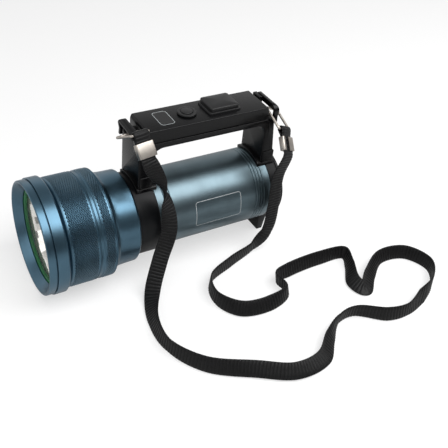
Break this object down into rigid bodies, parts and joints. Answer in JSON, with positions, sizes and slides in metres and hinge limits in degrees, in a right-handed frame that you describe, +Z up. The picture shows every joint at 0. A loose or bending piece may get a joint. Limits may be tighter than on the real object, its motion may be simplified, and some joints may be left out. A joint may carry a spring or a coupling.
{
  "type": "rechargeable flashlight",
  "caption": "Cylindrical metal torch with a wide knurled head, moulded top handle with button and charge flap, and a webbing strap on wire rings.",
  "frame": {"origin": "on the surface it stands on, under the middle of its length without the strap", "axes": "+X along the body from the lens to the tail, +Z up through the handle, -Y the side the strap lies on"},
  "size_m": [0.2971, 0.2099, 0.1291],
  "materials": {
    "blue_anodised": "satin blue-grey anodised, finely brushed, knurled on the head",
    "black_anodised": "satin black anodised",
    "bare_aluminium": "turned, bare",
    "clear_glass": "clear, polished",
    "polished_reflector": "polished facets",
    "green_seal": "satin",
    "black_rubber": "matte",
    "black_plastic": "fine moulded grain",
    "smoked_window": "smooth, smoked",
    "grey_plastic": "matte",
    "warm_steel": "nickel plated",
    "spring_steel": "plated",
    "black_webbing": "ribbed woven webbing",
    "green_board": "circuit board",
    "white_board": "circuit board",
    "emitter": "clear dome over a yellow emitter",
    "cell_sleeve": "shrunk sleeve over a metal cell"
  },
  "bodies": {
    "torch": {"front_bezel": "blue_anodised", "head_housing": "blue_anodised", "body_tube": "blue_anodised", "lens_seal": "green_seal", "lens": "clear_glass", "reflector": "polished_reflector", "led_emitter": "emitter", "led_board": "white_board", "heat_sink": "bare_aluminium", "head_seal": "black_rubber", "front_collar": "black_anodised", "rear_collar": "black_anodised", "tail_cap": "black_anodised", "tail_seal": "black_rubber", "driver_can": "bare_aluminium", "driver_board": "green_board", "battery_carrier": "grey_plastic", "battery_cell_1": "cell_sleeve", "battery_cell_2": "cell_sleeve", "battery_cell_3": "cell_sleeve", "battery_cell_4": "cell_sleeve", "front_spring": "spring_steel", "rear_spring": "spring_steel", "front_saddle": "black_plastic", "rear_saddle": "black_plastic", "handle_base": "black_plastic", "handle_cover": "black_plastic", "gauge_window": "smoked_window", "button_ring": "black_rubber", "push_switch": "grey_plastic", "control_board": "green_board", "charge_socket": "spring_steel", "port_frame": "black_rubber", "front_ear": "black_plastic", "rear_ear": "black_plastic", "strap": "black_webbing"},
    "power_button": {"power_button": "black_rubber"},
    "port_flap": {"port_flap": "black_rubber"},
    "front_ring": {"front_ring": "warm_steel", "front_strap_end": "black_webbing", "front_crimp": "warm_steel"},
    "rear_ring": {"rear_ring": "warm_steel", "rear_strap_end": "black_webbing", "rear_crimp": "warm_steel"}
  },
  "joints": [
    {"name": "power_press", "type": "slide", "parent": "torch", "child": "power_button", "axis": [0, 0, -1], "range_m": [0, 0.0012], "stiffness_N_per_m": 800, "springref_m": -0.0005},
    {"name": "flap_hinge", "type": "hinge", "parent": "torch", "child": "port_flap", "pos_m": [0.0369, 0, 0.12507], "axis": [0, -1, 0], "range_deg": [0, 110]},
    {"name": "front_ring_swing", "type": "hinge", "parent": "torch", "child": "front_ring", "pos_m": [-0.0288, -0.0022, 0.11597], "axis": [-0.9848, -0.1736, 0], "range_deg": [0, 60]},
    {"name": "rear_ring_swing", "type": "hinge", "parent": "torch", "child": "rear_ring", "pos_m": [0.0933, -0.005, 0.11397], "axis": [-0.8721, -0.2174, 0.4384], "range_deg": [0, 20]}
  ]
}
